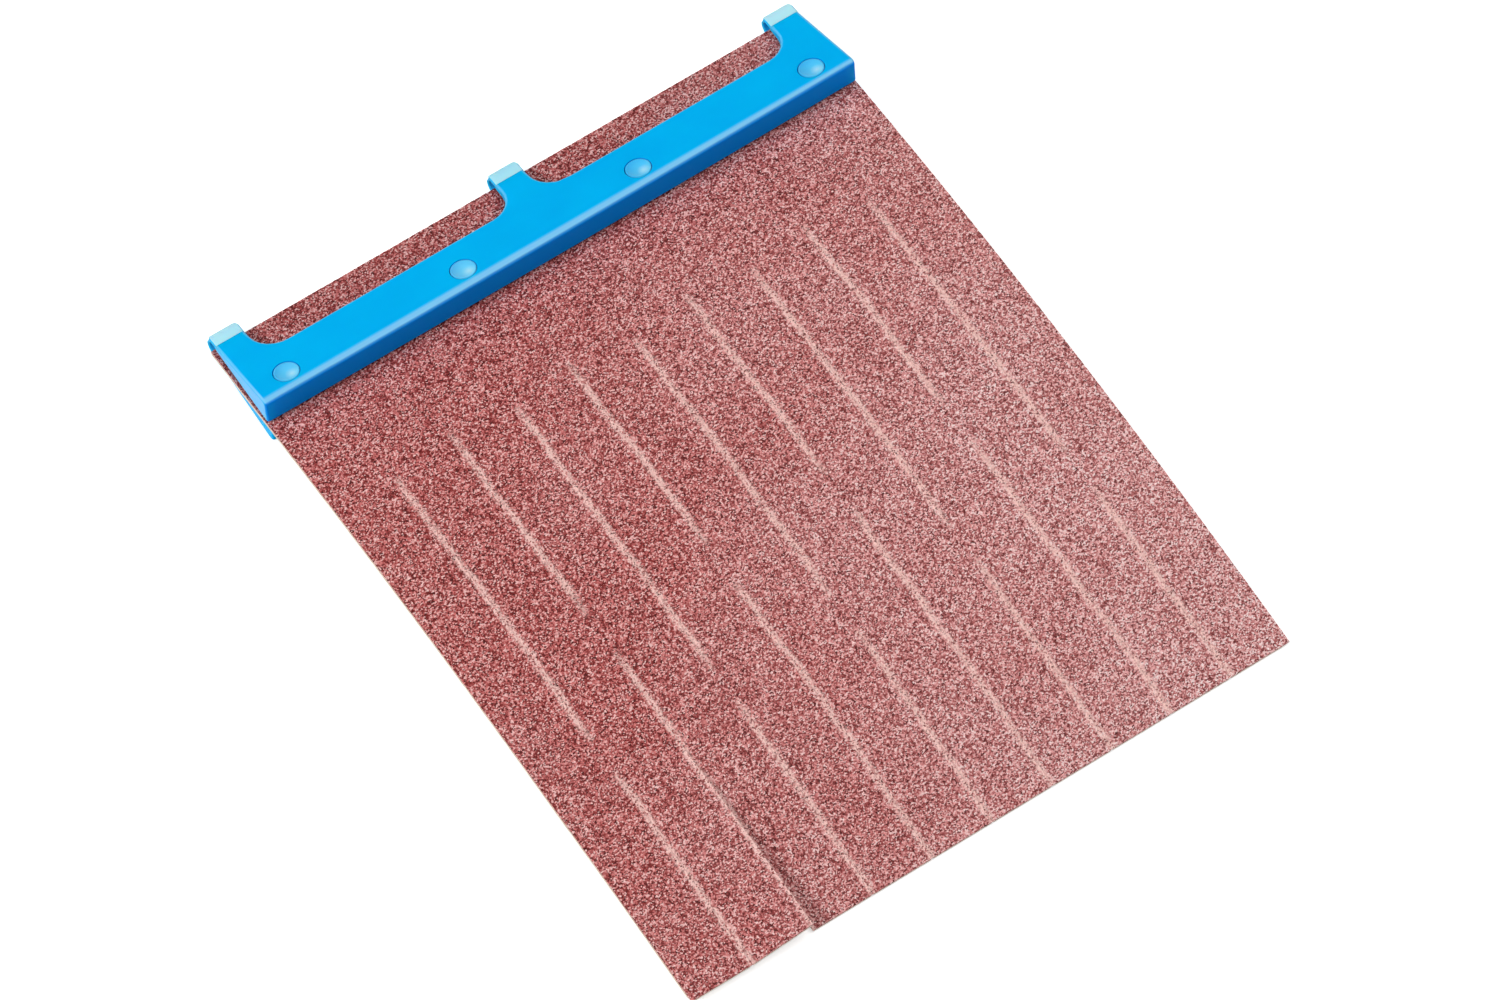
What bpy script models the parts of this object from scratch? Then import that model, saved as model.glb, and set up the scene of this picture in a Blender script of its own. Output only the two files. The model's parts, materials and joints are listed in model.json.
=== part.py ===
"""Slit abrasive flap gripped in a hinged clip bar. Metres, +Z up.

Shapes are drawn in the clip's own frame: X along the bar, "run" the distance from the sheet's top edge
towards its free end, and "rise" the height over the sheet's middle plane. The frame is tilted so that the
back jaw's outer face lies flat on the ground.
"""
import math

import bmesh
import bpy
from mathutils import Matrix, Vector

MM = 0.001

# Abrasive sheet
SHEET_WIDTH = 100 * MM
SHEET_LENGTH = 122 * MM
SHEET_THICKNESS = 0.9 * MM
SHEET_CORNER_RADIUS = 1.2 * MM
STRIP_COUNT = 10
SLIT_WIDTH = 0.5 * MM
ODD_UPPER_SLIT_START = 33 * MM
ODD_UPPER_SLIT_LENGTH = 49 * MM
EVEN_UPPER_SLIT_START = 31 * MM
EVEN_UPPER_SLIT_LENGTH = 34.5 * MM
EVEN_LOWER_SLIT_START = 73 * MM
FINGER_LENGTH = 33.5 * MM
FINGER_ROOT_GAP = 0.4 * MM
LIFTED_FINGERS = 2
FINGER_LIFT = 1 * MM

# Clip bar
BAR_INSET = 0.5 * MM
FRONT_JAW_DEPTH = 14.3 * MM
FRONT_JAW_LIP_HEIGHT = 5.2 * MM
BACK_JAW_DEPTH = 15.4 * MM
BACK_JAW_LIP_HEIGHT = 2.5 * MM
PRONG_SETBACK = 0.6 * MM
PRONG_THICKNESS = 1.2 * MM
PRONG_WIDTH = 4.8 * MM
NOTCH_DEPTH = 5.6 * MM
NOTCH_CORNER_RADIUS = 4 * MM
LIP_EDGE_RADIUS = 0.75 * MM
BACK_EDGE_RADIUS = 0.9 * MM
CORING_WALL = 1.6 * MM
STRAP_THICKNESS = 0.7 * MM
STRAP_DROP = 0.1 * MM
STRAP_REACH = 0.35 * MM

# Locking studs
STUD_COUNT = 4
STUD_END_DISTANCE = 5.1 * MM
STUD_DIAMETER = 3.7 * MM
STUD_SETBACK = 3.1 * MM
STUD_RECESS = 0.1 * MM
STUD_ENGAGEMENT = 1 * MM
STUD_CHAMFER = 0.4 * MM

# Fits
CLEARANCE = 0.3 * MM
STUD_FIT = 0.15 * MM
OVERCUT = 5 * MM
ARC_STEPS = 6
BEND_STEPS = 12

# Values that follow from the sizes above
GRIP_RISE = SHEET_THICKNESS / 2 + CLEARANCE
TIP_RISE = GRIP_RISE + PRONG_THICKNESS
BAR_LENGTH = SHEET_WIDTH - 2 * BAR_INSET
FRONT_JAW_END = PRONG_SETBACK + FRONT_JAW_DEPTH
BACK_JAW_END = PRONG_SETBACK + BACK_JAW_DEPTH
FRONT_SLOPE = (FRONT_JAW_LIP_HEIGHT - PRONG_THICKNESS) / FRONT_JAW_DEPTH
BACK_SLOPE = (BACK_JAW_LIP_HEIGHT - PRONG_THICKNESS) / BACK_JAW_DEPTH
CLIP_TILT = math.atan(BACK_SLOPE)
CLIP_HEIGHT = (TIP_RISE - BACK_SLOPE * PRONG_SETBACK) * math.cos(CLIP_TILT)
STRAP_RADIUS = TIP_RISE - STRAP_DROP
HINGE_RUN = STRAP_THICKNESS / 2 - STRAP_RADIUS - STRAP_REACH
STRIP_PITCH = SHEET_WIDTH / STRIP_COUNT
FINGER_ROOT_RUN = SHEET_LENGTH - FINGER_LENGTH
BENT_LENGTH = SHEET_LENGTH - BACK_JAW_END
STUD_RUN = FRONT_JAW_END - STUD_SETBACK
STUD_PITCH = (BAR_LENGTH - 2 * STUD_END_DISTANCE) / (STUD_COUNT - 1)
STUD_TIP_RISE = -(GRIP_RISE + STUD_ENGAGEMENT)

BLUE = (0.0, 0.42, 0.8, 1)
PALE_BLUE = (0.45, 0.75, 0.9, 1)
ABRASIVE = (0.33, 0.13, 0.13, 1)


def front_face_rise(run):
    """Rise of the front jaw's sloping outer face."""
    return TIP_RISE + FRONT_SLOPE * (run - PRONG_SETBACK)


def back_face_rise(run):
    """Rise of the back jaw's outer face, which lies on the ground."""
    return -TIP_RISE - BACK_SLOPE * (run - PRONG_SETBACK)


def bent_point(run, turn):
    """Run and rise of the sheet's middle line, and its slope, when its free stretch turns by an angle."""
    if run <= BACK_JAW_END:
        return run, 0.0, 0.0
    radius = BENT_LENGTH / turn
    angle = (run - BACK_JAW_END) / radius
    return BACK_JAW_END + radius * math.sin(angle), -radius * (1 - math.cos(angle)), angle


def free_edge_height(turn):
    """Height over the ground of the sheet's lower corner at its free edge."""
    run, rise, angle = bent_point(SHEET_LENGTH, turn)
    run -= math.sin(angle) * SHEET_THICKNESS / 2
    rise -= math.cos(angle) * SHEET_THICKNESS / 2
    return CLIP_HEIGHT + run * math.sin(CLIP_TILT) + rise * math.cos(CLIP_TILT)


def resting_turn():
    """Turn that brings the sheet's free edge down to the ground."""
    low = 0.001
    high = 1.5
    for _ in range(50):
        middle = (low + high) / 2
        if free_edge_height(middle) > 0:
            low = middle
        else:
            high = middle
    return low


SHEET_TURN = resting_turn()


def clear_scene():
    for item in list(bpy.data.objects):
        bpy.data.objects.remove(item, do_unlink=True)


def new_collection(name):
    collection = bpy.data.collections.new(name)
    bpy.context.scene.collection.children.link(collection)
    return collection


def plastic(name, colour, roughness):
    material = bpy.data.materials.new(name)
    material.use_nodes = True
    shader = material.node_tree.nodes["Principled BSDF"]
    shader.inputs["Base Color"].default_value = colour
    shader.inputs["Roughness"].default_value = roughness
    shader.inputs["Metallic"].default_value = 0
    return material


def filleted(corners):
    """Outline points of a polygon of (a, b, radius) corners, with an arc at each corner that has a radius."""
    points = []
    for index, (a, b, radius) in enumerate(corners):
        corner = Vector((a, b))
        if radius == 0:
            points.append(tuple(corner))
            continue
        before = (Vector(corners[index - 1][:2]) - corner).normalized()
        after = (Vector(corners[(index + 1) % len(corners)][:2]) - corner).normalized()
        half = before.angle(after) / 2
        centre = corner + (before + after).normalized() * radius / math.sin(half)
        start = corner + before * radius / math.tan(half) - centre
        end = corner + after * radius / math.tan(half) - centre
        for step in range(ARC_STEPS + 1):
            share = step / ARC_STEPS
            points.append(tuple(centre + start.normalized().slerp(end.normalized(), share) * radius))
    return points


def extruded(name, outline, depth):
    """Mesh of a closed flat outline, extruded evenly to both sides of its plane."""
    curve = bpy.data.curves.new(name, "CURVE")
    curve.dimensions = "2D"
    curve.fill_mode = "BOTH"
    curve.extrude = depth / 2
    spline = curve.splines.new("POLY")
    spline.points.add(len(outline) - 1)
    for point, (a, b) in zip(spline.points, outline):
        point.co = (a, b, 0, 1)
    spline.use_cyclic_u = True
    drawn = bpy.data.objects.new(name, curve)
    bpy.context.scene.collection.objects.link(drawn)
    evaluated = drawn.evaluated_get(bpy.context.evaluated_depsgraph_get())
    mesh = bpy.data.meshes.new_from_object(evaluated)
    bpy.data.objects.remove(drawn)
    body = bmesh.new()
    body.from_mesh(mesh)
    bmesh.ops.remove_doubles(body, verts=body.verts, dist=MM / 1000)
    bmesh.ops.recalc_face_normals(body, faces=body.faces)
    body.to_mesh(mesh)
    body.free()
    return mesh


def section_mesh(name, outline, x_from, x_to):
    """A (run, rise) section swept along the bar from one X to another."""
    mesh = extruded(name, [(-run, rise) for run, rise in outline], x_to - x_from)
    upright = Matrix(((0, 0, 1, (x_from + x_to) / 2), (1, 0, 0, 0), (0, 1, 0, 0), (0, 0, 0, 1)))
    mesh.transform(upright)
    return mesh


def plan_mesh(name, outline, rise_from, rise_to):
    """An (x, run) plan outline swept from one rise to another."""
    mesh = extruded(name, [(x, -run) for x, run in outline], rise_to - rise_from)
    mesh.transform(Matrix.Translation((0, 0, (rise_from + rise_to) / 2)))
    return mesh


def joined(name, meshes):
    """One mesh holding several bodies that stay clear of each other."""
    body = bmesh.new()
    for mesh in meshes:
        body.from_mesh(mesh)
        bpy.data.meshes.remove(mesh)
    result = bpy.data.meshes.new(name)
    body.to_mesh(result)
    body.free()
    return result


def round_bar(name, x, run, diameter, rise_from, rise_to):
    """Upright cylinder at a place along the bar."""
    body = bmesh.new()
    middle = Vector((x, -run, (rise_from + rise_to) / 2))
    bmesh.ops.create_cone(body, cap_ends=True, segments=32, radius1=diameter / 2, radius2=diameter / 2,
                          depth=rise_to - rise_from, matrix=Matrix.Translation(middle))
    mesh = bpy.data.meshes.new(name)
    body.to_mesh(mesh)
    body.free()
    return mesh


class Assembly:
    """The collections and the tilted frame that the pieces are built in."""

    def __init__(self):
        self.parts = new_collection("slit_abrasive_flap")
        self.cutters = new_collection("cutters")
        self.frame = self.empty("clip_frame", None, (0, 0, CLIP_HEIGHT))
        self.frame.rotation_euler.x = -CLIP_TILT
        self.hinge = self.empty("front_jaw_hinge", self.frame, (0, -HINGE_RUN, 0))

    def empty(self, name, parent, location):
        marker = bpy.data.objects.new(name, None)
        marker.empty_display_size = 5 * MM
        marker.parent = parent
        marker.location = location
        self.parts.objects.link(marker)
        return marker

    def piece(self, name, mesh, material, origin=(0, 0, 0), parent=None):
        """A named piece whose mesh is drawn in the clip's frame, with its own origin."""
        item = bpy.data.objects.new(name, mesh)
        mesh.name = name
        mesh.materials.append(material)
        mesh.transform(Matrix.Translation(-Vector(origin)))
        item.parent = parent or self.frame
        item.location = (0, 0, 0) if parent else origin
        self.parts.objects.link(item)
        return item

    def cut(self, item, mesh):
        """Cuts a mesh drawn in the clip's frame out of a piece."""
        cutter = bpy.data.objects.new(mesh.name, mesh)
        cutter.parent = self.frame
        cutter.hide_render = True
        cutter.display_type = "WIRE"
        self.cutters.objects.link(cutter)
        boolean = item.modifiers.new(mesh.name, "BOOLEAN")
        boolean.operation = "DIFFERENCE"
        boolean.object = cutter


def stud_places():
    first = -STUD_PITCH * (STUD_COUNT - 1) / 2
    return [first + STUD_PITCH * index for index in range(STUD_COUNT)]


def prong_places():
    """X of the middle of the left, middle and right prongs."""
    reach = (BAR_LENGTH - PRONG_WIDTH) / 2
    return {"left": -reach, "middle": 0.0, "right": reach}


def notch_mesh(name, rise_from, rise_to):
    """The two gaps between the three prongs, with rounded inner corners."""
    places = list(prong_places().values())
    bottom = PRONG_SETBACK + NOTCH_DEPTH
    notches = []
    for left, right in zip(places, places[1:]):
        x_from = left + PRONG_WIDTH / 2
        x_to = right - PRONG_WIDTH / 2
        corners = [(x_from, -OVERCUT, 0), (x_from, bottom, NOTCH_CORNER_RADIUS),
                   (x_to, bottom, NOTCH_CORNER_RADIUS), (x_to, -OVERCUT, 0)]
        notches.append(plan_mesh(name, filleted(corners), rise_from, rise_to))
    return joined(name, notches)


def coring_mesh():
    """Pockets that core out the front jaw from its gripping face, between the studs."""
    run_from = PRONG_SETBACK + NOTCH_DEPTH + CORING_WALL
    run_to = FRONT_JAW_END - CORING_WALL
    roof = CORING_WALL * math.hypot(1, FRONT_SLOPE)
    outline = [(run_from, 0), (run_to, 0),
               (run_to, front_face_rise(run_to) - roof), (run_from, front_face_rise(run_from) - roof)]
    margin = STUD_DIAMETER / 2 + STUD_FIT + CORING_WALL
    places = stud_places()
    pockets = []
    for left, right in zip(places, places[1:]):
        pockets.append(section_mesh("coring", outline, left + margin, right - margin))
    return joined("coring", pockets)


def stud_holes(name, diameter, rise_from, rise_to):
    holes = [round_bar(name, x, STUD_RUN, diameter, rise_from, rise_to) for x in stud_places()]
    return joined(name, holes)


def jaw_mesh(name, corners):
    """A jaw's section swept along the bar, with ends that spread from the hinge to the sheet's full width."""
    mesh = section_mesh(name, filleted(corners), -BAR_LENGTH / 2, BAR_LENGTH / 2)
    for vert in mesh.vertices:
        share = (-vert.co.y - PRONG_SETBACK) / BACK_JAW_DEPTH
        vert.co.x += math.copysign(BAR_INSET * share, vert.co.x)
    return mesh


def add_front_jaw(assembly):
    corners = [(PRONG_SETBACK, GRIP_RISE, 0), (FRONT_JAW_END, GRIP_RISE, 0),
               (FRONT_JAW_END, front_face_rise(FRONT_JAW_END), LIP_EDGE_RADIUS),
               (PRONG_SETBACK, TIP_RISE, 0)]
    mesh = jaw_mesh("front_jaw", corners)
    jaw = assembly.piece("front_jaw", mesh, plastic("front_jaw_blue", BLUE, 0.35),
                         (0, -HINGE_RUN, 0), assembly.hinge)
    top = front_face_rise(FRONT_JAW_END) + OVERCUT
    assembly.cut(jaw, notch_mesh("front_notches", 0, top))
    assembly.cut(jaw, coring_mesh())
    assembly.cut(jaw, stud_holes("stud_bores", STUD_DIAMETER + 2 * STUD_FIT, 0, top))


def add_back_jaw(assembly):
    corners = [(PRONG_SETBACK, -GRIP_RISE, 0), (PRONG_SETBACK, -TIP_RISE, 0),
               (BACK_JAW_END, back_face_rise(BACK_JAW_END), BACK_EDGE_RADIUS),
               (BACK_JAW_END, -GRIP_RISE, 0)]
    mesh = jaw_mesh("back_jaw", corners)
    jaw = assembly.piece("back_jaw", mesh, plastic("back_jaw_blue", BLUE, 0.35))
    bottom = back_face_rise(BACK_JAW_END) - OVERCUT
    assembly.cut(jaw, notch_mesh("back_notches", bottom, 0))
    socket = STUD_DIAMETER + 2 * CLEARANCE
    assembly.cut(jaw, stud_holes("stud_sockets", socket, STUD_TIP_RISE - CLEARANCE, 0))


def add_straps(assembly):
    """Thin loops that tie the jaws together round the sheet's top edge."""
    leg = PRONG_SETBACK - CLEARANCE
    inner = STRAP_RADIUS - STRAP_THICKNESS
    turns = [math.radians(90 + 180 * step / (2 * ARC_STEPS)) for step in range(2 * ARC_STEPS + 1)]
    outside = [(STRAP_RADIUS * math.cos(turn) - STRAP_REACH, STRAP_RADIUS * math.sin(turn)) for turn in turns]
    inside = [(inner * math.cos(turn) - STRAP_REACH, inner * math.sin(turn)) for turn in reversed(turns)]
    outline = [(leg, STRAP_RADIUS)] + outside + [(leg, -STRAP_RADIUS), (leg, -inner)] + inside + [(leg, inner)]
    for side, x in prong_places().items():
        mesh = section_mesh("strap", outline, x - PRONG_WIDTH / 2, x + PRONG_WIDTH / 2)
        assembly.piece(f"hinge_strap_{side}", mesh, plastic(f"strap_{side}_pale", PALE_BLUE, 0.4))


def add_studs(assembly):
    """Round studs whose ends follow the front jaw's slope and whose tips enter the back jaw."""
    for number, x in enumerate(stud_places(), 1):
        mesh = round_bar("stud", x, STUD_RUN, STUD_DIAMETER, STUD_TIP_RISE, TIP_RISE)
        body = bmesh.new()
        body.from_mesh(mesh)
        tip = []
        for edge in body.edges:
            if all(vert.co.z < 0 for vert in edge.verts):
                tip.append(edge)
        for vert in body.verts:
            if vert.co.z > 0:
                vert.co.z = front_face_rise(-vert.co.y) - STUD_RECESS
        bmesh.ops.bevel(body, geom=tip, offset=STUD_CHAMFER, segments=1, affect="EDGES")
        body.to_mesh(mesh)
        body.free()
        assembly.piece(f"locking_stud_{number}", mesh, plastic(f"stud_{number}_blue", PALE_BLUE, 0.35),
                       (0, -HINGE_RUN, 0), assembly.hinge)


def sheet_mesh(name, run_from, run_to, x_from, x_to):
    """Middle surface of a stretch of the sheet: its bent line swept along X."""
    bend_from = max(run_from, BACK_JAW_END)
    runs = [bend_from + (run_to - bend_from) * step / BEND_STEPS for step in range(BEND_STEPS + 1)]
    if run_from < bend_from:
        runs.insert(0, run_from)
    body = bmesh.new()
    line = []
    for distance in runs:
        run, rise, _ = bent_point(distance, SHEET_TURN)
        line.append(body.verts.new((x_from, -run, rise)))
    edges = [body.edges.new(pair) for pair in zip(line, line[1:])]
    swept = bmesh.ops.extrude_edge_only(body, edges=edges)["geom"]
    far_side = [item for item in swept if isinstance(item, bmesh.types.BMVert)]
    bmesh.ops.translate(body, verts=far_side, vec=(x_to - x_from, 0, 0))
    mesh = bpy.data.meshes.new(name)
    body.to_mesh(mesh)
    body.free()
    return mesh


def thicken(item):
    """Gives a middle surface the sheet's thickness, half to each side."""
    shell = item.modifiers.new("thickness", "SOLIDIFY")
    shell.thickness = SHEET_THICKNESS
    shell.offset = 0
    shell.use_even_offset = True


def slit_mesh():
    """Slits of the whole panel: odd and even columns are staggered, and even ones run on to the free edge."""
    deep = SHEET_LENGTH
    slits = []
    for column in range(1, STRIP_COUNT):
        x = STRIP_PITCH * column - SHEET_WIDTH / 2
        if column % 2:
            spans = [(ODD_UPPER_SLIT_START, ODD_UPPER_SLIT_START + ODD_UPPER_SLIT_LENGTH)]
        else:
            spans = [(EVEN_UPPER_SLIT_START, EVEN_UPPER_SLIT_START + EVEN_UPPER_SLIT_LENGTH),
                     (EVEN_LOWER_SLIT_START, FINGER_ROOT_RUN + OVERCUT)]
        for start, end in spans:
            corners = [(x - SLIT_WIDTH / 2, start), (x + SLIT_WIDTH / 2, start),
                       (x + SLIT_WIDTH / 2, end), (x - SLIT_WIDTH / 2, end)]
            slits.append(plan_mesh("slits", corners, -deep, deep))
    return joined("slits", slits)


def add_sheet(assembly):
    mesh = sheet_mesh("abrasive_sheet", 0, FINGER_ROOT_RUN - FINGER_ROOT_GAP / 2,
                      -SHEET_WIDTH / 2, SHEET_WIDTH / 2)
    sheet = assembly.piece("abrasive_sheet", mesh, plastic("sheet_abrasive", ABRASIVE, 0.9))
    thicken(sheet)
    assembly.cut(sheet, slit_mesh())
    hole = STUD_DIAMETER + 2 * CLEARANCE
    assembly.cut(sheet, stud_holes("sheet_holes", hole, -GRIP_RISE, GRIP_RISE))


def round_free_corner(mesh, side):
    """Rounds the sheet's free corner on the left (-1) or right (1) side."""
    body = bmesh.new()
    body.from_mesh(mesh)
    corner = min(body.verts, key=lambda vert: (round(-side * vert.co.x, 6), vert.co.y))
    bmesh.ops.bevel(body, geom=[corner], offset=SHEET_CORNER_RADIUS, segments=ARC_STEPS, affect="VERTICES",
                    profile=0.5)
    body.to_mesh(mesh)
    body.free()


def add_fingers(assembly):
    """Free strips beyond the last bridges, each able to bend at its root. The first ones have sprung up."""
    root_run, root_rise, _ = bent_point(FINGER_ROOT_RUN, SHEET_TURN)
    for index in range(STRIP_COUNT):
        x_from = STRIP_PITCH * index - SHEET_WIDTH / 2
        x_to = x_from + STRIP_PITCH
        if index > 0:
            x_from += SLIT_WIDTH / 2
        if index < STRIP_COUNT - 1:
            x_to -= SLIT_WIDTH / 2
        mesh = sheet_mesh("finger", FINGER_ROOT_RUN + FINGER_ROOT_GAP / 2, SHEET_LENGTH, x_from, x_to)
        if index == 0:
            round_free_corner(mesh, -1)
        if index == STRIP_COUNT - 1:
            round_free_corner(mesh, 1)
        name = f"sheet_finger_{index + 1:02d}"
        origin = ((x_from + x_to) / 2, -root_run, root_rise)
        finger = assembly.piece(name, mesh, plastic(f"{name}_abrasive", ABRASIVE, 0.9), origin)
        thicken(finger)
        if index < LIFTED_FINGERS:
            finger.rotation_euler.x = -math.asin(FINGER_LIFT / FINGER_LENGTH)


def centre_on_origin(assembly):
    """Slides the part along Y until the middle of its length is over the origin."""
    bpy.context.view_layer.update()
    graph = bpy.context.evaluated_depsgraph_get()
    places = []
    for item in assembly.parts.objects:
        if item.type == "MESH":
            evaluated = item.evaluated_get(graph)
            places += [(item.matrix_world @ vert.co).y for vert in evaluated.data.vertices]
    assembly.frame.location.y = -(min(places) + max(places)) / 2


def main():
    clear_scene()
    assembly = Assembly()
    add_front_jaw(assembly)
    add_back_jaw(assembly)
    add_straps(assembly)
    add_studs(assembly)
    add_sheet(assembly)
    add_fingers(assembly)
    centre_on_origin(assembly)


main()
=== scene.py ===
"""Looks of the slit abrasive flap in its hinged clip bar: grit, cloth backing and blue moulding."""
import json
import math

import bmesh
import bpy
import numpy as np
from mathutils import Matrix, Vector


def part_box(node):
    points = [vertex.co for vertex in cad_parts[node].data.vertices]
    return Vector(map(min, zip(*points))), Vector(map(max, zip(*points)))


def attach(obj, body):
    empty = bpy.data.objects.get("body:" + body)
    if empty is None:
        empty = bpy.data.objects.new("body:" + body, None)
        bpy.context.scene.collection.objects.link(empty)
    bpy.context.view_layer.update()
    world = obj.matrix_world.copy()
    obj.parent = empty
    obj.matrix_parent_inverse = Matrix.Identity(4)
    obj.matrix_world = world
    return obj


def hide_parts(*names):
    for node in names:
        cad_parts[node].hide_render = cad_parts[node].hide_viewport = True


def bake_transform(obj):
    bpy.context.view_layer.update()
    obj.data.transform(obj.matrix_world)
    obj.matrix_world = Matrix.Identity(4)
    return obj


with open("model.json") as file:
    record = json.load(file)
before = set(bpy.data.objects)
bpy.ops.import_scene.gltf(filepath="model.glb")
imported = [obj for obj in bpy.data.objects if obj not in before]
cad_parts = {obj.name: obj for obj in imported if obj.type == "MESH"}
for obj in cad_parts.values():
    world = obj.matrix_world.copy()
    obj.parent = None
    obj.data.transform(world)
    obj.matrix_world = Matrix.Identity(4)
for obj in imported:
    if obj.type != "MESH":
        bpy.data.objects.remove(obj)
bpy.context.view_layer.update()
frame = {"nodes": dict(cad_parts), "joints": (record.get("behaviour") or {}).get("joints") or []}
MM = 0.001

# Mesh work
WELD_REACH = 0.001 * MM
SAME_PLACE = 0.01 * MM
FLAT_ANGLE = math.radians(1)
END_ANGLE = math.radians(5)
SMOOTH_ANGLE = math.radians(30)
SHARP_ANGLE = math.radians(35)

# How far a face's normal leans before it counts as facing that way
MOSTLY_UP = 0.9
SIDEWAYS = 0.6
FORWARD = 0.4
SLOPED = (0.3, 0.999)
STRAP_CUT_FACING = 0.8

# Sheet
STRIP_COUNT = 10
GRAIN_COLUMNS = 32
PANEL_ROWS = 284
FINGER_ROWS = 108
GRAIN_HEIGHT = 0.12 * MM
GRAIN_SCATTER = 0.7
COAT_DEPTH = 0.32 * MM
CUT_GAP = 0.05 * MM
CRUSH_REACH = 0.68 * MM
CRUSH_FADE = 4 * MM
CRUSH_STEP = 3.5 * MM
CRUSH_SPAN = 70 * MM
CRUSH_STRENGTH = (0.8, 1.0)
CRUSH_WANDER = 0.4 * MM
CRUSH_END_SHARE = 0.4
CURL_HEIGHT = 0.05 * MM
# Reach and fade of the painted shade on the grain under and beside the clip
CLIP_SHADE_REACH = 17 * MM
CLIP_SHADE_FADE = 2 * MM
TWISTED_FINGER = "sheet_finger_02"
TWIST_LIFT = 1.2 * MM
FLEX_REACH = 9 * MM
FLEX_LINES = 12
ROOT_GAP_REACH = 0.3 * MM
HOLE_MARGIN = 1 * MM
HOLE_RIM_REACH = 0.5 * MM
BALANCED = 1e-7
ODD_UPPER_SLIT = (33 * MM, 82 * MM)
EVEN_UPPER_SLIT = (31 * MM, 65.5 * MM)
EVEN_LOWER_SLIT_START = 73 * MM
GRAIN_SEED = 7

# Clip
EDGE_ROUNDING = 0.4 * MM
ROUNDING_STEPS = 3
# Painted highlights on the front jaw's rounded edges and lip, and pale, slightly deeper blue cut-off ends
# standing in for reflected white
EDGE_HIGHLIGHT = 0.3
LIP_HIGHLIGHT = 0.6
LIP_HIGHLIGHT_REACH = 1.8 * MM
HIGHLIGHT_START = 0.25
HIGHLIGHT_RISE = 0.35
HIGHLIGHT_FALL = 0.12
END_HIGHLIGHT = 0.4
END_SHADE = 0.3
END_REACH = 1 * MM
ROUNDING_STRIP = 0.22 * MM
STRAP_EDGE_ROUNDING = 0.3 * MM
STRAP_CORNER_RADIUS = 0.7 * MM
STRAP_RISE = 0.125 * MM
JOIN_GAP = 0.01 * MM
PRONG_END_SLOPE = 0.3 * MM
LIP_DEPTH = 0.9 * MM
LIP_LINES = 9
LIP_BOW = 0.35 * MM
LIP_BOW_MIDDLE = -12 * MM
LIP_BOW_SPAN = 62 * MM
# Painted glow: the lip's painted shade fades out over this reach of its ends, by this share
LIP_GLOW = 1.8 * MM
LIP_GLOW_SHARE = 0.45
BORE_MARGIN = 0.4 * MM
# Painted shade: a dark ring where the bores meet the studs
RIM_SHADE = 0.3
BORE_ROUNDING_SHARE = 0.25
JOINT_REACH = 0.6 * MM
STUD_SPREAD = 1.02
STUD_COUNT = 4
STUD_RIM = 0.2 * MM
STUD_RIM_RISE = 0.05 * MM
DISH_DEPTH = 0.35 * MM
DISH_RINGS = 6
# Painted glint spot on each stud's dish and painted shade on its far side
GLINT_SPOT = (0.29, -0.2)
GLINT_SPOT_REACH = 0.55
GLINT_SPOT_STRENGTH = 0.55
FAR_SIDE_SHADE = 0.6

# Blues of the clip: light flow, dark flow, painted shade and painted highlight
JAW_BLUES = ("00BAFC", "00B2F6", "0092FF", "A6DCFF")
STUD_BLUES = ("6CD2FF", "48C6FC", "10A8F6", "D0F2FF")
STRAP_BLUES = ("BCEEFF", "A0E4FE", "28BCFA", "8ADCFF")

# Stage: each softbox has its place, its width and its power
FLOOR_SIZE = 6
FLOOR_DROP = 0.05 * MM
FLOOR_LIFT = 0.54
OVERHEAD_SOFTBOX = ((0.26, -0.14, 0.86), 0.6, 3.3)
LEFT_SOFTBOX = ((-1.2, 0.3, 0.9), 0.4, 13)
ROOM_GLOW = (0.1, 0.38)

# Camera, as fitted to the photograph
LENS = 240
SENSOR = 36
CAMERA_DISTANCE = 1.4009
CAMERA_ELEVATION = math.radians(61.57)
CAMERA_AZIMUTH = math.radians(-33.91)
CAMERA_SLIDE = (1.089 * MM, -0.667 * MM)


def corners(node):
    """Lowest and highest corner of a CAD node's box."""
    return [Vector(corner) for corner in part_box(node)]


JOINTS = {joint["name"]: joint for joint in frame["joints"]}
ROOT_PLACE = Vector(JOINTS["sheet_finger_01_flex"]["pos_m"])
STUD_NODES = [f"locking_stud_{number}" for number in range(1, STUD_COUNT + 1)]
STUD_BOXES = [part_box(node) for node in STUD_NODES]
SHEET_LOW, SHEET_HIGH = corners("abrasive_sheet")
STRIP_PITCH = (SHEET_HIGH.x - SHEET_LOW.x) / STRIP_COUNT


# Materials

def linear(code):
    """Linear colour of an sRGB hex value."""
    channels = [int(code[index:index + 2], 16) / 255 for index in (0, 2, 4)]
    return [c / 12.92 if c <= 0.04045 else ((c + 0.055) / 1.055) ** 2.4 for c in channels] + [1]


def add_node(material, kind, settings=(), values=(), links=()):
    """Adds a node, sets its options and plain values, and links other nodes' outputs to its inputs."""
    node = material.node_tree.nodes.new(kind)
    for name, value in dict(settings).items():
        setattr(node, name, value)
    for name, value in dict(values).items():
        node.inputs[name].default_value = value
    for name, (source, output) in dict(links).items():
        material.node_tree.links.new(source.outputs[output], node.inputs[name])
    return node


def new_material(name):
    """A material with that name, and its shader."""
    material = bpy.data.materials.new(name)
    material.use_nodes = True
    return material, material.node_tree.nodes["Principled BSDF"]


def set_ramp(node, stops):
    """Gives a colour ramp its stops, as places and hex colours."""
    ramp = node.color_ramp
    while len(ramp.elements) < len(stops):
        ramp.elements.new(0.5)
    for element, (place, code) in zip(ramp.elements, stops):
        element.position = place
        element.color = linear(code)


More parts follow.
